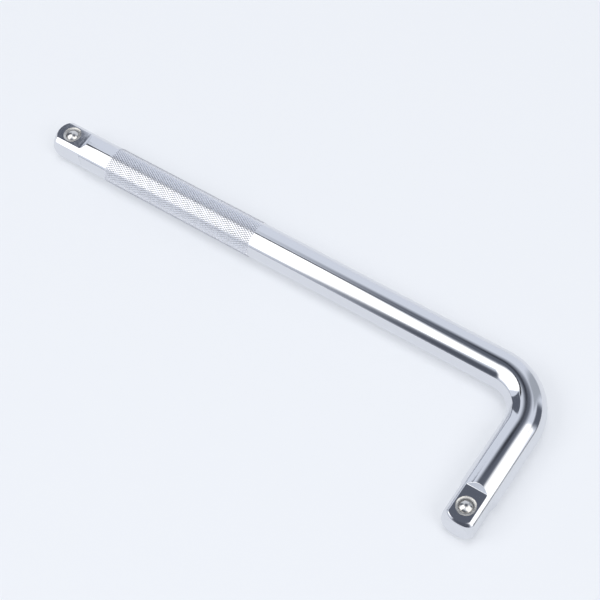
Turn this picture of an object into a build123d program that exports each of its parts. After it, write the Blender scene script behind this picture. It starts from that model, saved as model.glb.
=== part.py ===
from build123d import *
import os
from math import acos, cos, degrees, pi, sin, sqrt

# Bent extension bar: one round steel bar bent to an L, a square drive milled on each end,
# and in each drive a steel ball that a coil spring pushes out of its bore.
# The bar lies flat, long arm along X, short arm towards -Y, and both balls face up.
# All lengths are in millimetres.

# The bar as a whole
overall_length = 246.0
overall_reach = 74.0
bar_diameter = 15.5
bend_radius = 19.5

# The square drives, the same on both ends
square_width = 12.7
flat_length = 15.0
runout_length = 2.0
runout_fillet = 1.5
nose_length = 2.7
nose_depth = 2.5
nose_bulge = 0.29

# The knurled grip on the long arm
knurl_start = 30.0
knurl_length = 75.0
knurl_depth = 0.3
knurl_shoulder = 0.5

# The ball and the pocket that holds it
ball_diameter = 6.35
ball_setback = 7.5
ball_travel = 1.2
bore_clearance = 0.12
stop_clearance = 0.06
lip_opening = 5.5
lip_thickness = 0.15
lip_land = 0.25
dish_diameter = 7.8
dish_depth = 0.35
bore_depth = 9.8

# The coil spring under the ball
spring_wire = 0.6
spring_diameter = 5.6
spring_half_turns = 9
wire_sides = 6
spring_clearance = 0.1

# How far a cutter runs past the metal that it removes
cut_overrun = 2.0

# Sizes that follow from the ones above
bar_radius = bar_diameter / 2
half_square = square_width / 2
runout_rise = bar_radius - half_square
runout_slope = runout_length / runout_rise
nose_radius = bar_radius - nose_depth
ball_radius = ball_diameter / 2
bore_radius = ball_radius + bore_clearance
seat_radius = ball_radius + stop_clearance
lip_radius = lip_opening / 2
dish_radius = dish_diameter / 2
wire_radius = spring_wire / 2
coil_radius = spring_diameter / 2 - wire_radius

# Places, from the middle of the bar's outline on the surface that it lies on
long_end_x = -overall_length / 2
short_end_y = -overall_reach / 2
long_axis_y = overall_reach / 2 - bar_radius
short_axis_x = overall_length / 2 - bar_radius
axis_z = bar_radius
long_end = Vector(long_end_x, long_axis_y, axis_z)
short_end = Vector(short_axis_x, short_end_y, axis_z)
along_long_arm = Vector(1, 0, 0)
along_short_arm = Vector(0, 1, 0)
up = Vector(0, 0, 1)

# Heights in a ball pocket, from the bar's axis up
lip_top = half_square - dish_depth
lip_bottom = lip_top - lip_thickness
ball_height = lip_bottom - sqrt(seat_radius**2 - lip_radius**2)
bore_floor = half_square - bore_depth
spring_bore_radius = coil_radius - wire_radius
spring_top = ball_height - sqrt(ball_radius**2 - spring_bore_radius**2) - spring_clearance
spring_turns = spring_half_turns / 2
spring_pitch = (spring_top - bore_floor) / spring_turns

os.makedirs("parts", exist_ok=True)


def drive_plane(origin, inward, quarter=0):
    """Plane through the bar's axis: X runs into the bar, Y up or some quarter turns from up."""
    outward = up.rotate(Axis((0, 0, 0), inward), 90 * quarter)
    return Plane(origin=origin, x_dir=inward, z_dir=inward.cross(outward))


def coil_point(pocket, turns):
    """Point on a spring's wire axis after so many turns up from the pocket's floor."""
    angle = 2 * pi * turns
    height = bore_floor + spring_pitch * turns
    return pocket + Vector(coil_radius * cos(angle), coil_radius * sin(angle), height)


def coil_direction(turns):
    """Unit direction of the spring's wire after so many turns."""
    angle = 2 * pi * turns
    climb = spring_pitch / (2 * pi)
    return Vector(-coil_radius * sin(angle), coil_radius * cos(angle), climb).normalized()


def biarc_joint(start, start_direction, end, end_direction):
    """Point where two tangent arcs between two points of the coil meet."""
    chord = end - start
    both = start_direction + end_direction
    spread = 2 * (1 - start_direction.dot(end_direction))
    reach = (sqrt(chord.dot(both) ** 2 + spread * chord.dot(chord)) - chord.dot(both)) / spread
    return (start + end + (start_direction - end_direction) * reach) / 2


# Bent bar: drawn round bar with a cold bend, turned noses, milled flats and drilled pockets
with BuildPart() as bent_bar:
    with BuildLine(Plane.XY.offset(axis_z)):
        FilletPolyline(
            (long_end_x, long_axis_y),
            (short_axis_x, long_axis_y),
            (short_axis_x, short_end_y),
            radius=bend_radius,
        )
    with BuildSketch(Plane(origin=long_end, z_dir=along_long_arm)):
        Circle(bar_radius)
    sweep()

    # Grip band, turned down by half the knurl's depth before the knurl is rolled
    with BuildSketch(drive_plane(long_end, along_long_arm)):
        with BuildLine():
            Polyline(
                (knurl_start, bar_radius),
                (knurl_start + knurl_shoulder, bar_radius - knurl_depth / 2),
                (knurl_start + knurl_length - knurl_shoulder, bar_radius - knurl_depth / 2),
                (knurl_start + knurl_length, bar_radius),
                (knurl_start + knurl_length, bar_radius + cut_overrun),
                (knurl_start, bar_radius + cut_overrun),
                close=True,
            )
        make_face()
    revolve(axis=Axis(long_end, along_long_arm), mode=Mode.SUBTRACT)

    for end, inward in ((long_end, along_long_arm), (short_end, along_short_arm)):
        # Nose, turned to a full round cone that leaves a small flat face
        with BuildSketch(drive_plane(end, inward)):
            with BuildLine():
                nose = SagittaArc((0, nose_radius), (nose_length, bar_radius), nose_bulge)
                Polyline(
                    nose @ 1,
                    (nose_length, bar_radius + cut_overrun),
                    (-cut_overrun, bar_radius + cut_overrun),
                    (-cut_overrun, nose_radius),
                    nose @ 0,
                )
            make_face()
        revolve(axis=Axis(end, inward), mode=Mode.SUBTRACT)

        # Four flats, which run out up to the round bar on a short ramp
        for quarter in range(4):
            with BuildSketch(drive_plane(end, inward, quarter)) as flat_cut:
                with BuildLine():
                    Polyline(
                        (-cut_overrun, half_square),
                        (flat_length, half_square),
                        (
                            flat_length + runout_length + runout_slope * cut_overrun,
                            bar_radius + cut_overrun,
                        ),
                        (-cut_overrun, bar_radius + cut_overrun),
                        close=True,
                    )
                make_face()
                ramp_foot = flat_cut.vertices().sort_by_distance((flat_length, half_square))[0]
                fillet(ramp_foot, runout_fillet)
            extrude(amount=bar_radius + cut_overrun, both=True, mode=Mode.SUBTRACT)

        # Ball pocket: blind bore whose mouth is staked in to a lip that keeps the ball
        pocket = end + inward * ball_setback
        with BuildSketch(drive_plane(pocket, inward)):
            with BuildLine():
                seat = CenterArc(
                    (0, ball_height),
                    seat_radius,
                    start_angle=0,
                    arc_size=degrees(acos(lip_radius / seat_radius)),
                )
                Polyline(
                    seat @ 1,
                    (lip_radius, lip_top),
                    (lip_radius + lip_land, lip_top),
                    (dish_radius, half_square),
                    (dish_radius, half_square + cut_overrun),
                    (0, half_square + cut_overrun),
                    (0, bore_floor),
                    (bore_radius, bore_floor),
                    (bore_radius, ball_height),
                    seat @ 0,
                )
            make_face()
        revolve(axis=Axis(pocket, up), mode=Mode.SUBTRACT)

bent_bar.part.label = "bent_bar"
export_step(bent_bar.part, "parts/bent_bar.step")

for name, end, inward in (
    ("long_end", long_end, along_long_arm),
    ("short_end", short_end, along_short_arm),
):
    pocket = end + inward * ball_setback

    # Detent ball: hardened steel, held a little proud of the flat by the staked lip
    with BuildPart(Plane(origin=pocket + up * ball_height)) as ball:
        Sphere(ball_radius)
    ball.part.label = f"{name}_ball"
    export_step(ball.part, f"parts/{name}_ball.step")

    # Coil spring: wire wound as a helix, drawn with six sides, its ends ground flat
    with BuildPart() as spring:
        with BuildLine() as coil:
            for half_turn in range(spring_half_turns):
                start = coil_point(pocket, half_turn / 2)
                end_point = coil_point(pocket, (half_turn + 1) / 2)
                start_direction = coil_direction(half_turn / 2)
                end_direction = coil_direction((half_turn + 1) / 2)
                joint = biarc_joint(start, start_direction, end_point, end_direction)
                first = TangentArc(start, joint, tangent=start_direction)
                TangentArc(joint, end_point, tangent=first % 1)
        coil_wire = coil.wire()
        with BuildSketch(Plane(origin=coil_wire @ 0, z_dir=coil_wire % 0)):
            RegularPolygon(wire_radius, side_count=wire_sides)
        sweep(path=coil_wire)
        split(bisect_by=Plane.XY.offset(axis_z + bore_floor), keep=Keep.TOP)
        split(bisect_by=Plane.XY.offset(axis_z + spring_top), keep=Keep.BOTTOM)
    spring.part.label = f"{name}_spring"
    export_step(spring.part, f"parts/{name}_spring.step")

# Least gap between the spring's turns, measured on points along its wire axis
steps_per_turn = 36
step_count = int(spring_turns * steps_per_turn)
points = [coil_point(pocket, step / steps_per_turn) for step in range(step_count)]
gaps = [
    (points[later] - points[first_point]).length - spring_wire
    for first_point in range(len(points))
    for later in range(first_point + steps_per_turn // 2, len(points))
]
print(f"spring: {spring_turns} turns, pitch {spring_pitch:.3f}, least gap {min(gaps):.3f}")
print(f"ball stands {ball_height + ball_radius - half_square:.2f} proud of the flat")
print(f"travel left under the ball: {ball_height - ball_radius - bore_floor - ball_travel:.2f}")
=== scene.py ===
import bmesh
import bpy
from math import acos, atan2, cos, hypot, pi, radians, sin, sqrt
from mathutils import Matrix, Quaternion, Vector


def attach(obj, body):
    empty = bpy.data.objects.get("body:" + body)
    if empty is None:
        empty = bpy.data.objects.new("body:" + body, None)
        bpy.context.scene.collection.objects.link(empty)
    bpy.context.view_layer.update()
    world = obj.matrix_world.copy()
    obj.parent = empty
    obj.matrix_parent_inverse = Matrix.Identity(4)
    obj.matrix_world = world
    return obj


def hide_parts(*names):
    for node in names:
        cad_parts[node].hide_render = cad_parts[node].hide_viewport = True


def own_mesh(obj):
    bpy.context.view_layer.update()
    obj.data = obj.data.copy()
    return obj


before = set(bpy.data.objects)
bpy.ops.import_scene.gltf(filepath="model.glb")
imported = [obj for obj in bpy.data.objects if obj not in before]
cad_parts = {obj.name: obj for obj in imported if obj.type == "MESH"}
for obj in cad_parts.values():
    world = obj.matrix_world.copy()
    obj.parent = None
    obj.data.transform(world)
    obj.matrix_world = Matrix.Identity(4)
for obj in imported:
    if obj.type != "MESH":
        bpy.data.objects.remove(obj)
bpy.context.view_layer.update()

# Bar blank: one round rod of alloy steel, cut to length, turned to a rounded nose at
# both ends and bent cold to a right angle. The long arm lies along X and the short
# arm towards -Y. It is left open where the grip is rolled.
mm = 0.001
near = 0.01 * mm
weld = 0.001 * mm
bar_radius = 7.75 * mm
bend_radius = 19.5 * mm
long_end = Vector((-123, 29.25, 7.75)) * mm
short_end = Vector((115.25, -37, 7.75)) * mm
bend_x = short_end.x - bend_radius
bend_y = long_end.y - bend_radius
nose_radius = 5.25 * mm
nose_length = 2.7 * mm
nose_steep = 60.6
nose_gentle = 25
nose_steps = 8
nose_curve = nose_length / (sin(radians(nose_steep)) - sin(radians(nose_gentle)))
nose_rings = []
for step in range(nose_steps + 1):
    slope = radians(nose_steep - (nose_steep - nose_gentle) * step / nose_steps)
    depth = nose_curve * (sin(radians(nose_steep)) - sin(slope))
    ring_radius = nose_radius + nose_curve * (cos(slope) - cos(radians(nose_steep)))
    nose_rings.append((depth, ring_radius))
grip_start = 30 * mm
grip_length = 75 * mm
ring_points = 96
bend_steps = 36


def stand_alone():
    """Nothing is selected, so that the next operator acts on the new piece alone."""
    bpy.ops.object.select_all(action="DESELECT")


def settle():
    """The selected piece's place, turn and size go into its mesh."""
    bpy.ops.object.transform_apply(location=True, rotation=True, scale=True)


def pick(kind, wanted):
    """In edit mode, only the verts, edges or faces that are wanted are selected."""
    bpy.ops.mesh.select_mode(type={"verts": "VERT", "edges": "EDGE", "faces": "FACE"}[kind])
    bpy.ops.mesh.select_all(action="DESELECT")
    mesh = bmesh.from_edit_mesh(bpy.context.object.data)
    for item in getattr(mesh, kind):
        if wanted(item):
            item.select_set(True)
    mesh.select_flush_mode()
    bmesh.update_edit_mesh(bpy.context.object.data)


def middle(item):
    """Middle of an edge or a face."""
    return sum((v.co for v in item.verts), Vector()) / len(item.verts)


def draw_on(step):
    """The selected ring is drawn on by a step, and leaves a wall behind it."""
    bpy.ops.mesh.extrude_region_move(TRANSFORM_OT_translate={"value": step})


def widen(about, share):
    """The selected ring or wall grows or shrinks about a point."""
    bpy.ops.transform.resize(value=share, center_override=about)


def new_material(name):
    """An empty procedural material: its shader, its nodes and its links."""
    material = bpy.data.materials.new(name)
    material.use_nodes = True
    nodes = material.node_tree.nodes
    return material, nodes["Principled BSDF"], nodes, material.node_tree.links


def noise_on(nodes, links, scale, detail, stretch=(1, 1, 1)):
    """Noise on Object coordinates, so many grains to the metre."""
    place = nodes.new("ShaderNodeTexCoord")
    mapping = nodes.new("ShaderNodeMapping")
    mapping.inputs["Scale"].default_value = stretch
    noise = nodes.new("ShaderNodeTexNoise")
    noise.inputs["Scale"].default_value = scale
    noise.inputs["Detail"].default_value = detail
    links.new(place.outputs["Object"], mapping.inputs["Vector"])
    links.new(mapping.outputs["Vector"], noise.inputs["Vector"])
    return noise.outputs["Fac"]


def ramp_to(nodes, links, source, socket, low, high, start=0.3, end=0.7):
    """An output's values from start to end become low to high on a socket."""
    spread = nodes.new("ShaderNodeMapRange")
    for name, value in (("From Min", start), ("From Max", end), ("To Min", low), ("To Max", high)):
        spread.inputs[name].default_value = value
    links.new(source, spread.inputs["Value"])
    links.new(spread.outputs["Result"], socket)


def bump_on(nodes, links, shader, source, depth):
    """Relief from one output, so deep in metres."""
    bump = nodes.new("ShaderNodeBump")
    bump.inputs["Strength"].default_value = 1
    bump.inputs["Distance"].default_value = depth
    links.new(source, bump.inputs["Height"])
    links.new(bump.outputs["Normal"], shader.inputs["Normal"])


chrome, shader, nodes, links = new_material("bright_chrome")
shader.inputs["Base Color"].default_value = (0.75, 0.76, 0.79, 1)
shader.inputs["Metallic"].default_value = 1
haze = noise_on(nodes, links, scale=900, detail=4)
ramp_to(nodes, links, haze, shader.inputs["Roughness"], low=0.05, high=0.1)
ripple = noise_on(nodes, links, scale=160, detail=2)
bump_on(nodes, links, shader, ripple, depth=0.006 * mm)

stand_alone()
bpy.ops.mesh.primitive_circle_add(
    vertices=ring_points, radius=nose_radius, location=long_end, rotation=(0, radians(90), 0)
)
bar = bpy.context.object
bar.name = "bent_bar_chrome"
bar.data.materials.append(chrome)
settle()
bpy.ops.object.mode_set(mode="EDIT")
bpy.ops.mesh.select_mode(type="EDGE")
bpy.ops.mesh.select_all(action="SELECT")
for (last_depth, last_radius), (depth, ring_radius) in zip(nose_rings, nose_rings[1:]):
    draw_on((depth - last_depth, 0, 0))
    widen(long_end, (1, ring_radius / last_radius, ring_radius / last_radius))
draw_on((grip_start - nose_length, 0, 0))
bpy.ops.mesh.duplicate_move(TRANSFORM_OT_translate={"value": (grip_length, 0, 0)})
draw_on((bend_x - long_end.x - grip_start - grip_length, 0, 0))
bpy.ops.mesh.spin(
    steps=bend_steps, angle=radians(90), center=(bend_x, bend_y, bar_radius), axis=(0, 0, 1)
)
draw_on((0, short_end.y + nose_length - bend_y, 0))
for (last_depth, last_radius), (depth, ring_radius) in zip(nose_rings[::-1], nose_rings[-2::-1]):
    draw_on((0, depth - last_depth, 0))
    widen(short_end, (ring_radius / last_radius, 1, ring_radius / last_radius))
bpy.ops.mesh.select_all(action="SELECT")
bpy.ops.mesh.remove_doubles(threshold=weld)
for end, way in ((long_end, Vector((1, 0, 0))), (short_end, Vector((0, 1, 0)))):
    pick("edges", lambda edge: abs((middle(edge) - end).dot(way)) < near)
    bpy.ops.mesh.edge_face_add()
bpy.ops.object.mode_set(mode="OBJECT")

# Knurled grip: two knurling wheels roll crossed grooves in the blank, which leave
# low diamonds, with flat tops that are level with the bar. The grooves run about 30
# degrees to the bar's length.
knurl_round = 48
knurl_rows = 44
groove_depth = 0.3 * mm
flank_steps = ((0.06 * mm, 0.2 * mm), (0.04 * mm, 0.1 * mm))
seam_gap = 0.03 * mm
grip_low = long_end.x + grip_start
grip_high = grip_low + grip_length

# Rolled diamonds take less polish than the plain bar, and their grooves carry painted shade
rolled, shader, nodes, links = new_material("rolled_chrome")
shader.inputs["Metallic"].default_value = 1
# The specular tint dims the diamonds' reflection at grazing angles: painted shade for their
# self-shadowing
shader.inputs["Specular Tint"].default_value = (0.4, 0.41, 0.44, 1)
place = nodes.new("ShaderNodeTexCoord")
from_axis = nodes.new("ShaderNodeMapping")
from_axis.inputs["Scale"].default_value = (0, 1, 1)
from_axis.inputs["Location"].default_value = (0, -long_end.y, -long_end.z)
height = nodes.new("ShaderNodeVectorMath")
height.operation = "LENGTH"
# Painted shade: the base colour darkens from the diamond tops down into the grooves
shades = nodes.new("ShaderNodeMixRGB")
shades.inputs["Color1"].default_value = (0.5, 0.51, 0.54, 1)
shades.inputs["Color2"].default_value = (0.84, 0.85, 0.89, 1)
links.new(place.outputs["Object"], from_axis.inputs["Vector"])
links.new(from_axis.outputs["Vector"], height.inputs[0])
links.new(shades.outputs["Color"], shader.inputs["Base Color"])
ramp_to(
    nodes, links, height.outputs["Value"], shades.inputs["Fac"], low=0, high=1,
    start=bar_radius - groove_depth, end=bar_radius - groove_depth / 3,
)
haze = noise_on(nodes, links, scale=1500, detail=3)
ramp_to(nodes, links, haze, shader.inputs["Roughness"], low=0.22, high=0.31)
grain = noise_on(nodes, links, scale=3000, detail=2)
bump_on(nodes, links, shader, grain, depth=0.01 * mm)

stand_alone()
bpy.ops.mesh.primitive_cylinder_add(
    vertices=knurl_round,
    radius=bar_radius - groove_depth,
    depth=grip_length,
    end_fill_type="NOTHING",
    location=((grip_low + grip_high) / 2, long_end.y, bar_radius),
    rotation=(0, radians(90), 0),
)
grip = bpy.context.object
grip.data.materials.append(rolled)
settle()
bpy.ops.object.mode_set(mode="EDIT")
pick("edges", lambda edge: abs(edge.verts[0].co.x - edge.verts[1].co.x) > grip_length / 2)
bpy.ops.mesh.subdivide(number_cuts=knurl_rows - 1)


def is_straight(edge):
    """The edge runs along the bar or round it, as the cells' own edges do."""
    run = edge.verts[1].co - edge.verts[0].co
    return abs(run.x) < weld or hypot(run.y, run.z) < weld


def work_on(*pieces):
    """Only these pieces are selected, and the last of them is the active one."""
    stand_alone()
    for piece in pieces:
        piece.select_set(True)
    bpy.context.view_layer.objects.active = pieces[-1]


# Each cell is split in four from its middle, and the cells' own edges go: diamonds stay
bpy.ops.mesh.select_all(action="SELECT")
bpy.ops.mesh.poke()
pick("edges", lambda edge: is_straight(edge) and not edge.is_boundary)
bpy.ops.mesh.dissolve_edges(use_verts=False)
pick("faces", lambda face: len(face.verts) == 4)
for flank_width, flank_rise in flank_steps:
    bpy.ops.mesh.inset(thickness=flank_width, depth=flank_rise, use_individual=True)

# The grooves run out to the bar's surface at both ends of the band, where it joins the bar
pick("edges", lambda edge: edge.is_boundary)
bpy.ops.mesh.subdivide(number_cuts=1)
run_out = bar_radius / (bar_radius - groove_depth)
widen(long_end, (1, run_out, run_out))
bpy.ops.object.mode_set(mode="OBJECT")
work_on(grip, bar)
bpy.ops.object.join()
bpy.ops.object.mode_set(mode="EDIT")
pick("verts", lambda vert: min(abs(vert.co.x - grip_low), abs(vert.co.x - grip_high)) < near)
bpy.ops.mesh.remove_doubles(threshold=seam_gap)
bpy.ops.mesh.select_all(action="SELECT")
bpy.ops.mesh.normals_make_consistent(inside=False)
bpy.ops.object.mode_set(mode="OBJECT")

# Square drives: four flats are milled on each end, 12.7 mm across, and each runs
# out to the round bar on a short ramp. The milling block is made once, turned to
# all four sides of the bar, and copied to the other end.
half_square = 6.35 * mm
flat_length = 15 * mm
ramp_length = 2 * mm
hollow_length = 1.2 * mm
foot_rise = 0.13 * mm
hollow_steps = 5
crease_width = 0.14 * mm
overrun = 2 * mm
corner_gap = 0.1 * mm
floor_level = bar_radius + half_square
ramp_slope = ramp_length / (bar_radius - half_square)
block_length = flat_length + ramp_length + ramp_slope * overrun + overrun
block_width = 2 * half_square - corner_gap
block_height = bar_radius - half_square + overrun
stand_alone()
bpy.ops.mesh.primitive_cube_add(
    size=1,
    location=long_end + Vector((block_length / 2 - overrun, 0, half_square + block_height / 2)),
    scale=(block_length, block_width, block_height),
)
block = bpy.context.object
settle()
bpy.ops.object.mode_set(mode="EDIT")


def is_on_the_floor(vert):
    """The vert lies on the block's lower side, which makes the flat."""
    return abs(vert.co.z - floor_level) < near


def is_foot(edge):
    """The lower edge of the block, across the bar, on its inner end."""
    across = abs(edge.verts[0].co.x - edge.verts[1].co.x) < near
    inner = middle(edge).x > long_end.x + flat_length - near
    return across and inner and all(is_on_the_floor(vert) for vert in edge.verts)


# The foot of the ramp: the flat rises to it in a faint hollow, as the cutter leaves it
pick("edges", is_foot)
bpy.ops.transform.translate(value=(flat_length + overrun - block_length, 0, 0))
hollow_start = long_end.x + flat_length - hollow_length
hollow_run = hollow_length + foot_rise * ramp_slope
hollow_lines = [hollow_start + hollow_run * step / hollow_steps for step in range(hollow_steps)]
for line in hollow_lines:
    bpy.ops.mesh.select_all(action="SELECT")
    bpy.ops.mesh.bisect(plane_co=(line, 0, 0), plane_no=(1, 0, 0))
for step, line in enumerate(hollow_lines[1:], start=1):
    pick("verts", lambda vert: abs(vert.co.x - line) < near and is_on_the_floor(vert))
    bpy.ops.transform.translate(value=(0, 0, foot_rise * (step / hollow_steps) ** 2))
pick("edges", is_foot)
bpy.ops.transform.translate(value=(foot_rise * ramp_slope, 0, foot_rise))
bpy.ops.mesh.bevel(offset=crease_width, segments=3)
for quarter in (1, 2, 3):
    pick("faces", lambda face: middle(face).z > floor_level - near)
    bpy.ops.mesh.duplicate()
    bpy.ops.transform.rotate(
        value=radians(90) * quarter, orient_axis="X", center_override=long_end
    )
bpy.ops.object.mode_set(mode="OBJECT")


def cut_both_ends(tool):
    """The tool is copied to the short end, and the pair is cut out of the bar."""
    work_on(tool)
    bpy.ops.object.duplicate()
    bpy.ops.transform.rotate(value=radians(-90), orient_axis="Z", center_override=long_end)
    bpy.ops.transform.translate(value=short_end - long_end)
    settle()
    work_on(bpy.context.object, tool)
    bpy.ops.object.join()
    cut = bar.modifiers.new("cut", "BOOLEAN")
    cut.operation = "DIFFERENCE"
    cut.solver = "EXACT"
    cut.object = tool
    work_on(bar)
    bpy.ops.object.modifier_apply(modifier="cut")
    bpy.data.objects.remove(tool)


# The milled edges are broken a little by the polishing before the bar is plated
polished_edge = 0.12 * mm
shortest_edge = 0.15 * mm
sharp = radians(24)
past_ramp = 1 * mm


def is_drive_edge(edge):
    """A sharp edge of either drive, past the turned nose."""
    place = middle(edge)
    depth = min(place.x - long_end.x, place.y - short_end.y)
    on_drive = nose_length < depth < flat_length + ramp_length + past_ramp
    return on_drive and edge.calc_face_angle(0) > sharp


cut_both_ends(block)
bpy.ops.object.mode_set(mode="EDIT")
pick("edges", is_drive_edge)
bpy.ops.mesh.remove_doubles(threshold=shortest_edge)
pick("edges", is_drive_edge)
bpy.ops.mesh.bevel(
    offset=polished_edge, segments=2, affect="EDGES", clamp_overlap=False, loop_slide=False
)
bpy.ops.object.mode_set(mode="OBJECT")

# Ball pockets: a blind bore is drilled down through one flat of each drive, and its
# mouth is staked in round the ball, which leaves a shallow dish and a thin lip.
# Heights are from the bar's axis.
ball_radius = 3.175 * mm
ball_setback = 7.5 * mm
seat_radius = 3.235 * mm
seat_drop = 0.1 * mm
bore_radius = 3.295 * mm
bore_floor = -3.45 * mm
lip_radius = 2.75 * mm
lip_top = 6.0 * mm
lip_bottom = 5.85 * mm
dish_radius = 3.9 * mm
dish_land = 3.0 * mm
dish_slope = 2 * atan2(half_square - lip_top, dish_radius - dish_land)
dish_curve = (dish_radius - dish_land) / sin(dish_slope)
ball_height = lip_bottom - sqrt(seat_radius**2 - lip_radius**2)
pocket = long_end + Vector((ball_setback, 0, 0))

# The drill's profile from its top down: a wall above the flat, the dish, whose curve
# starts a little above the flat for a clean cut, the lip, the ball's seat and the bore
rim_slope = 1.04 * dish_slope
dish_steps = 4
seat_steps = 4
drill_points = 64
bar_crease = radians(20)
drill_rings = [(dish_land + dish_curve * sin(rim_slope), half_square + overrun)]
for step in range(dish_steps + 1):
    angle = rim_slope * (1 - step / dish_steps)
    ring_radius = dish_land + dish_curve * sin(angle)
    drill_rings.append((ring_radius, lip_top + dish_curve * (1 - cos(angle))))
drill_rings += [(lip_radius, lip_top), (lip_radius, lip_bottom)]
for step in range(1, seat_steps + 1):
    angle = acos(lip_radius / seat_radius) * (1 - step / seat_steps)
    drill_rings.append((seat_radius * cos(angle), ball_height + seat_radius * sin(angle)))
drill_rings += [(bore_radius, ball_height - seat_drop), (bore_radius, bore_floor)]
last_radius, last_height = drill_rings[0]
stand_alone()
bpy.ops.mesh.primitive_circle_add(
    vertices=drill_points,
    radius=last_radius,
    fill_type="NGON",
    location=pocket + Vector((0, 0, last_height)),
)
drill = bpy.context.object
settle()
bpy.ops.object.mode_set(mode="EDIT")
bpy.ops.mesh.select_mode(type="EDGE")
bpy.ops.mesh.select_all(action="SELECT")
for ring_radius, height in drill_rings[1:]:
    draw_on((0, 0, height - last_height))
    share = ring_radius / last_radius
    widen(pocket, (share, share, 1))
    last_radius, last_height = ring_radius, height
bpy.ops.mesh.select_all(action="SELECT")
bpy.ops.mesh.normals_make_consistent(inside=False)
bpy.ops.object.mode_set(mode="OBJECT")

cut_both_ends(drill)
bpy.ops.object.mode_set(mode="EDIT")
bpy.ops.mesh.select_all(action="SELECT")
bpy.ops.mesh.remove_doubles(threshold=weld)
bpy.ops.object.mode_set(mode="OBJECT")
bpy.ops.object.shade_smooth_by_angle(angle=bar_crease)
weigh = bar.modifiers.new("weigh", "WEIGHTED_NORMAL")
weigh.keep_sharp = True
weigh.mode = "FACE_AREA"
bpy.ops.object.modifier_apply(modifier="weigh")
pockets = (pocket, short_end + Vector((0, ball_setback, 0)))


def is_in_a_pocket(face):
    """A face of either ball pocket, below the flat that the pocket is drilled in."""
    place = middle(face)
    away = min(hypot(place.x - p.x, place.y - p.y) for p in pockets)
    return away < dish_radius and place.z < floor_level - 0.5 * near


# The staked mouths and the bores are dull, because the polishing wheel can't reach them
staked, shader, nodes, links = new_material("staked_steel")
shader.inputs["Metallic"].default_value = 1
shades = nodes.new("ShaderNodeMixRGB")
shades.inputs["Color1"].default_value = (0.46, 0.45, 0.43, 1)
shades.inputs["Color2"].default_value = (0.76, 0.75, 0.72, 1)
mottle = noise_on(nodes, links, scale=2200, detail=3)
ramp_to(nodes, links, mottle, shades.inputs["Fac"], low=0, high=1)
links.new(shades.outputs["Color"], shader.inputs["Base Color"])
haze = noise_on(nodes, links, scale=5000, detail=4)
ramp_to(nodes, links, haze, shader.inputs["Roughness"], low=0.28, high=0.45)
grain = noise_on(nodes, links, scale=2600, detail=3)
bump_on(nodes, links, shader, grain, depth=0.06 * mm)
bar.data.materials.append(staked)
bpy.ops.object.mode_set(mode="EDIT")
pick("faces", is_in_a_pocket)
bar.active_material_index = len(bar.data.materials) - 1
bpy.ops.object.material_slot_assign()
bpy.ops.object.mode_set(mode="OBJECT")
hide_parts("bent_bar")
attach(bar, "bar")

# Coil springs: hard-drawn wire wound to a coil, its ends ground flat. Each stands on
# the floor of its bore and pushes the ball up.
wire_radius = 0.3 * mm
wire_sides = 12
coil_radius = 2.5 * mm
coil_steps = 108
coil_crease = radians(40)
spring_turns = 4.5
spring_foot = bar_radius + bore_floor
spring_length = 5.207 * mm
drawn_out = (1, 1, 0.2)

spring_steel, shader, nodes, links = new_material("drawn_spring_wire")
shader.inputs["Base Color"].default_value = (0.55, 0.55, 0.57, 1)
shader.inputs["Metallic"].default_value = 1
haze = noise_on(nodes, links, scale=4000, detail=3, stretch=drawn_out)
ramp_to(nodes, links, haze, shader.inputs["Roughness"], low=0.25, high=0.42)
grain = noise_on(nodes, links, scale=6000, detail=2, stretch=drawn_out)
bump_on(nodes, links, shader, grain, depth=0.004 * mm)

for name, place, joint in (
    ("long_end", pockets[0], "long_ball_slide"),
    ("short_end", pockets[1], "short_ball_slide"),
):
    foot = Vector((place.x, place.y, spring_foot))
    stand_alone()
    bpy.ops.mesh.primitive_circle_add(
        vertices=wire_sides, radius=wire_radius, rotation=(radians(90), 0, 0)
    )
    spring = bpy.context.object
    spring.name = name + "_coil"
    bpy.ops.object.mode_set(mode="EDIT")
    bpy.ops.mesh.select_all(action="SELECT")
    bpy.ops.transform.translate(value=(coil_radius, 0, 0))
    bpy.ops.object.mode_set(mode="OBJECT")
    settle()
    wind = spring.modifiers.new("wind", "SCREW")
    wind.angle = 2 * pi * spring_turns
    wind.screw_offset = spring_length
    wind.steps = wind.render_steps = coil_steps
    bpy.ops.object.modifier_apply(modifier="wind")
    spring.location = foot
    settle()
    bpy.ops.object.mode_set(mode="EDIT")
    pick("edges", lambda edge: edge.is_boundary)
    bpy.ops.mesh.edge_face_add()
    for height, outer in ((0, False), (spring_length, True)):
        bpy.ops.mesh.select_all(action="SELECT")
        bpy.ops.mesh.bisect(
            plane_co=foot + Vector((0, 0, height)),
            plane_no=(0, 0, 1),
            threshold=weld,
            use_fill=True,
            clear_inner=not outer,
            clear_outer=outer,
        )
    bpy.ops.mesh.select_all(action="SELECT")
    bpy.ops.mesh.normals_make_consistent(inside=False)
    bpy.ops.object.mode_set(mode="OBJECT")
    bpy.ops.object.shade_smooth_by_angle(angle=coil_crease)
    spring.data.materials.append(spring_steel)
    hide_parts(name + "_spring")
    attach(spring, "bar")
    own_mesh(spring)

# Detent balls: ground and polished hardened steel, dropped in the bore on the spring
# before its mouth is staked. About 1 mm of each stands proud of the flat.
ball_cuts = 19

ball_steel, shader, nodes, links = new_material("polished_ball_steel")
shader.inputs["Base Color"].default_value = (0.7, 0.69, 0.67, 1)
shader.inputs["Metallic"].default_value = 1
haze = noise_on(nodes, links, scale=2500, detail=4)
ramp_to(nodes, links, haze, shader.inputs["Roughness"], low=0.14, high=0.21)
ripple = noise_on(nodes, links, scale=1200, detail=2)
bump_on(nodes, links, shader, ripple, depth=0.003 * mm)

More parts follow.
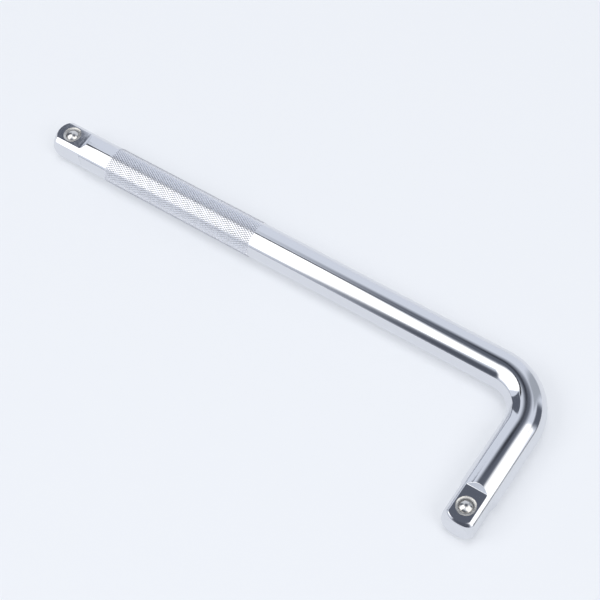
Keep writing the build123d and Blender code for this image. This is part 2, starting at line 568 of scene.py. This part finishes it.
for name, place, body in (
    ("long_end", pockets[0], "long_ball"),
    ("short_end", pockets[1], "short_ball"),
):
    stand_alone()
    bpy.ops.mesh.primitive_cube_add(size=2 * ball_radius)
    ball = bpy.context.object
    ball.name = name + "_detent_ball"
    bpy.ops.object.mode_set(mode="EDIT")
    bpy.ops.mesh.select_all(action="SELECT")
    bpy.ops.mesh.subdivide(number_cuts=ball_cuts)
    bpy.ops.object.mode_set(mode="OBJECT")
    lap = ball.modifiers.new("lap", "CAST")
    lap.factor = 1
    lap.radius = 0
    lap.size = ball_radius
    lap.use_radius_as_size = False
    bpy.ops.object.modifier_apply(modifier="lap")
    ball.location = (place.x, place.y, bar_radius + ball_height)
    settle()
    bpy.ops.object.shade_smooth()
    ball.data.materials.append(ball_steel)
    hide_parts(name + "_ball")
    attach(ball, body)

# Table: a wide sheet of pale matt paper that the bar lies on. Seen directly or in the
# chrome, a share of its tone is the paper's own glow, as on a light table.
table_side = 6
glow_share = 0.4


def seen_by_camera(nodes, links):
    """1 for what the camera sees, straight, in metal or through glass, and else 0."""
    rays = nodes.new("ShaderNodeLightPath")
    seen = rays.outputs["Is Camera Ray"]
    for kind in ("Is Glossy Ray", "Is Transmission Ray"):
        either = nodes.new("ShaderNodeMath")
        either.operation = "MAXIMUM"
        links.new(seen, either.inputs[0])
        links.new(rays.outputs[kind], either.inputs[1])
        seen = either.outputs[0]
    return seen


stand_alone()
bpy.ops.mesh.primitive_plane_add(size=table_side)
table = bpy.context.object
table.name = "table"
table_paper, shader, nodes, links = new_material("table_paper")
shader.inputs["Base Color"].default_value = (0.8, 0.82, 0.86, 1)
shader.inputs["Roughness"].default_value = 0.9
shader.inputs["Specular IOR Level"].default_value = 0.1
glow = nodes.new("ShaderNodeEmission")
glow.inputs["Color"].default_value = (0.871, 0.905, 0.965, 1)
share = nodes.new("ShaderNodeMath")
share.operation = "MULTIPLY"
share.inputs[1].default_value = glow_share
both = nodes.new("ShaderNodeMixShader")
links.new(seen_by_camera(nodes, links), share.inputs[0])
links.new(share.outputs[0], both.inputs["Fac"])
links.new(shader.outputs[0], both.inputs[1])
links.new(glow.outputs[0], both.inputs[2])
links.new(both.outputs[0], nodes["Material Output"].inputs["Surface"])
table.data.materials.append(table_paper)

# Studio: pale walls, two soft boxes that shine in the chrome, and darker flags, rims,
# sills and a scrim between them, which are cards that only reflections show. Three
# soft lamps light the bar and the table, and no reflection shows those.
studio_middle = Vector((40, 0, 8)) * mm
world = bpy.data.worlds.new("studio")
bpy.context.scene.world = world
world.use_nodes = True
nodes, links = world.node_tree.nodes, world.node_tree.links
walls = nodes["Background"]
walls.inputs["Color"].default_value = (0.795, 0.839, 0.93, 1)
room_light = nodes.new("ShaderNodeBackground")
room_light.inputs["Color"].default_value = (0.95, 0.97, 1, 1)
room_light.inputs["Strength"].default_value = 0.5
both = nodes.new("ShaderNodeMixShader")
links.new(seen_by_camera(nodes, links), both.inputs["Fac"])
links.new(room_light.outputs[0], both.inputs[1])
links.new(walls.outputs[0], both.inputs[2])
links.new(both.outputs[0], nodes["World Output"].inputs["Surface"])
bpy.context.scene.view_settings.view_transform = "Standard"


def in_the_room(azimuth, elevation, distance):
    """Place in the room, so many millimetres from its middle: azimuth from +Y to +X."""
    a, e = radians(azimuth), radians(elevation)
    return studio_middle + Vector((sin(a) * cos(e), cos(a) * cos(e), sin(e))) * distance * mm


def facing_the_bar(thing, place, roll):
    """The thing's +Z looks at the middle of the room."""
    turn = (studio_middle - place).to_track_quat("Z", "Y") @ Quaternion((0, 0, 1), radians(roll))
    thing.location = place
    thing.rotation_euler = turn.to_euler()


def card(name, place, roll, half_size, edge, colour, strength):
    """A card that only reflections show, whose edges fade out over a width, all in mm."""
    stand_alone()
    bpy.ops.mesh.primitive_plane_add(size=1)
    sheet = bpy.context.object
    sheet.name = name
    sheet.scale = (*((2 * half + edge) * mm for half in half_size), 1)
    bpy.ops.object.transform_apply(location=False, rotation=False, scale=True)
    facing_the_bar(sheet, place, roll)
    for ray in ("camera", "diffuse", "transmission", "volume_scatter", "shadow"):
        setattr(sheet, "visible_" + ray, False)
    finish = bpy.data.materials.new(name)
    finish.use_nodes = True
    nodes, links = finish.node_tree.nodes, finish.node_tree.links
    nodes.clear()
    where = nodes.new("ShaderNodeTexCoord")
    apart = nodes.new("ShaderNodeSeparateXYZ")
    links.new(where.outputs["Object"], apart.inputs["Vector"])
    inside = nodes.new("ShaderNodeMath")
    inside.operation = "MULTIPLY"
    for number, half in enumerate(half_size):
        away = nodes.new("ShaderNodeMath")
        away.operation = "ABSOLUTE"
        fade = nodes.new("ShaderNodeMapRange")
        fade.interpolation_type = "SMOOTHSTEP"
        fade.inputs["From Min"].default_value = (half + edge / 2) * mm
        fade.inputs["From Max"].default_value = (half - edge / 2) * mm
        links.new(apart.outputs[number], away.inputs[0])
        links.new(away.outputs[0], fade.inputs["Value"])
        links.new(fade.outputs["Result"], inside.inputs[number])
    glow = nodes.new("ShaderNodeEmission")
    glow.inputs["Color"].default_value = (*colour, 1)
    glow.inputs["Strength"].default_value = strength
    clear = nodes.new("ShaderNodeBsdfTransparent")
    both = nodes.new("ShaderNodeMixShader")
    out = nodes.new("ShaderNodeOutputMaterial")
    links.new(inside.outputs[0], both.inputs["Fac"])
    links.new(clear.outputs[0], both.inputs[1])
    links.new(glow.outputs[0], both.inputs[2])
    links.new(both.outputs[0], out.inputs["Surface"])
    sheet.data.materials.append(finish)


white = (1, 1, 1)
scrim_cloth = (0.84, 0.9, 1)
sill_paint = (0.96, 0.98, 1)
black_cloth = (0.72, 0.8, 1.0)
for name, place, roll, half_size, edge, colour, strength in (
    ("left_box", (-130, 44, 1155), -11, (500, 770), 86, white, 1.8),
    ("right_box", (96, 42, 1049), -2, (667, 761), 76, white, 1.5),
    ("box_rim", (-74.5, 65.5, 1090), -14.7, (54, 330), 24, black_cloth, 0.03),
    ("overhead_flag", (4, 74, 492), -32, (185, 198), 201, black_cloth, 0.18),
    ("corner_flag", (5, 64, 248), 0, (30, 14), 44, black_cloth, 0.05),
    ("front_flag", (163, 13, 538), 16, (433, 217), 255, black_cloth, 0.14),
    ("bend_flag", (-83, 20, 596), -16, (138, 309), 8, black_cloth, 0.17),
    ("back_flag", (49, 16, 714), 9, (142, 203), 120, black_cloth, 0.17),
    ("back_scrim", (23, 17, 481), -2, (89, 241), 70, scrim_cloth, 0.53),
    ("left_sill", (-132, 1, 789), 0, (604, 13), 18, black_cloth, 0.25),
    ("right_rim", (68, 4, 760), 0, (160, 16), 12, black_cloth, 0.12),
    ("right_sill", (88, 0, 782), -4, (702, 41), 35, sill_paint, 0.64),
):
    card(name, in_the_room(*place), roll, half_size, edge, colour, strength)

for name, place, width, energy in (
    ("right_lamp", (110, 50, 2600), 1.5, 17),
    ("left_lamp", (-140, 50, 2600), 1.5, 17),
    ("ceiling_lamp", (0, 88, 2200), 1.0, 12),
):
    bpy.ops.object.light_add(type="AREA")
    lamp = bpy.context.object
    lamp.name = name
    lamp.data.shape = "DISK"
    lamp.data.size = width
    lamp.data.energy = energy
    lamp.visible_glossy = False
    facing_the_bar(lamp, in_the_room(*place), roll=0)
    lamp.rotation_euler.rotate_axis("X", pi)

# Camera: it looks down on the bar from beyond the short arm, about 0.6 m off and
# turned a little on its own axis, as the photograph does.
view_from = Vector((217.27, -229.08, 497.40)) * mm
view_along = Vector((-0.3504, 0.4171, -0.8386))
view_roll = radians(-6.78)
bpy.ops.object.camera_add(location=view_from)
camera = bpy.context.object
aim = view_along.to_track_quat("-Z", "Y") @ Quaternion((0, 0, 1), view_roll)
camera.rotation_euler = aim.to_euler()
camera.data.lens = 87.98
camera.data.sensor_width = 36
camera.data.clip_start = 0.01
bpy.context.scene.camera = camera
